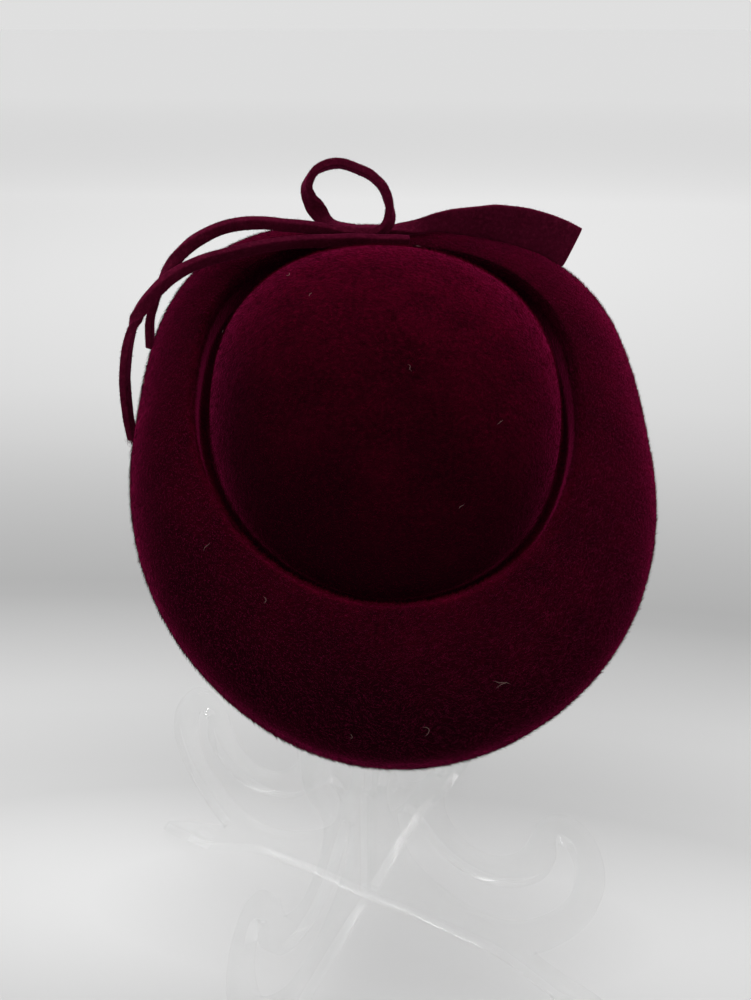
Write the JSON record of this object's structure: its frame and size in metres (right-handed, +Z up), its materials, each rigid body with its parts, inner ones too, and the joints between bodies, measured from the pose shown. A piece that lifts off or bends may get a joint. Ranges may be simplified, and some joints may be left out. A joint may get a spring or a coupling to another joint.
{
  "type": "pillbox hat on its clear display stand",
  "caption": "Velour felt pillbox hat with a rolled crest, sunken domed tip and tied felt trim, tipped forward on a clear stand of crossing plates.",
  "frame": {"origin": "centre of the bounding box, on the surface that the stand stands on", "axes": "+Z up, the front of the hat faces -Y, +X to the viewer's right"},
  "size_m": [0.216, 0.2402, 0.321],
  "materials": {
    "velour": "burgundy velour felt, short brushed nap",
    "trim": "burgundy felt, cut edges",
    "clear_plate": "clear, polished"
  },
  "bodies": {
    "root": {"hat_body": "velour", "looped_strip": "trim", "front_strip": "trim", "stand_plate_across": "clear_plate", "stand_plate_along": "clear_plate"}
  },
  "joints": []
}
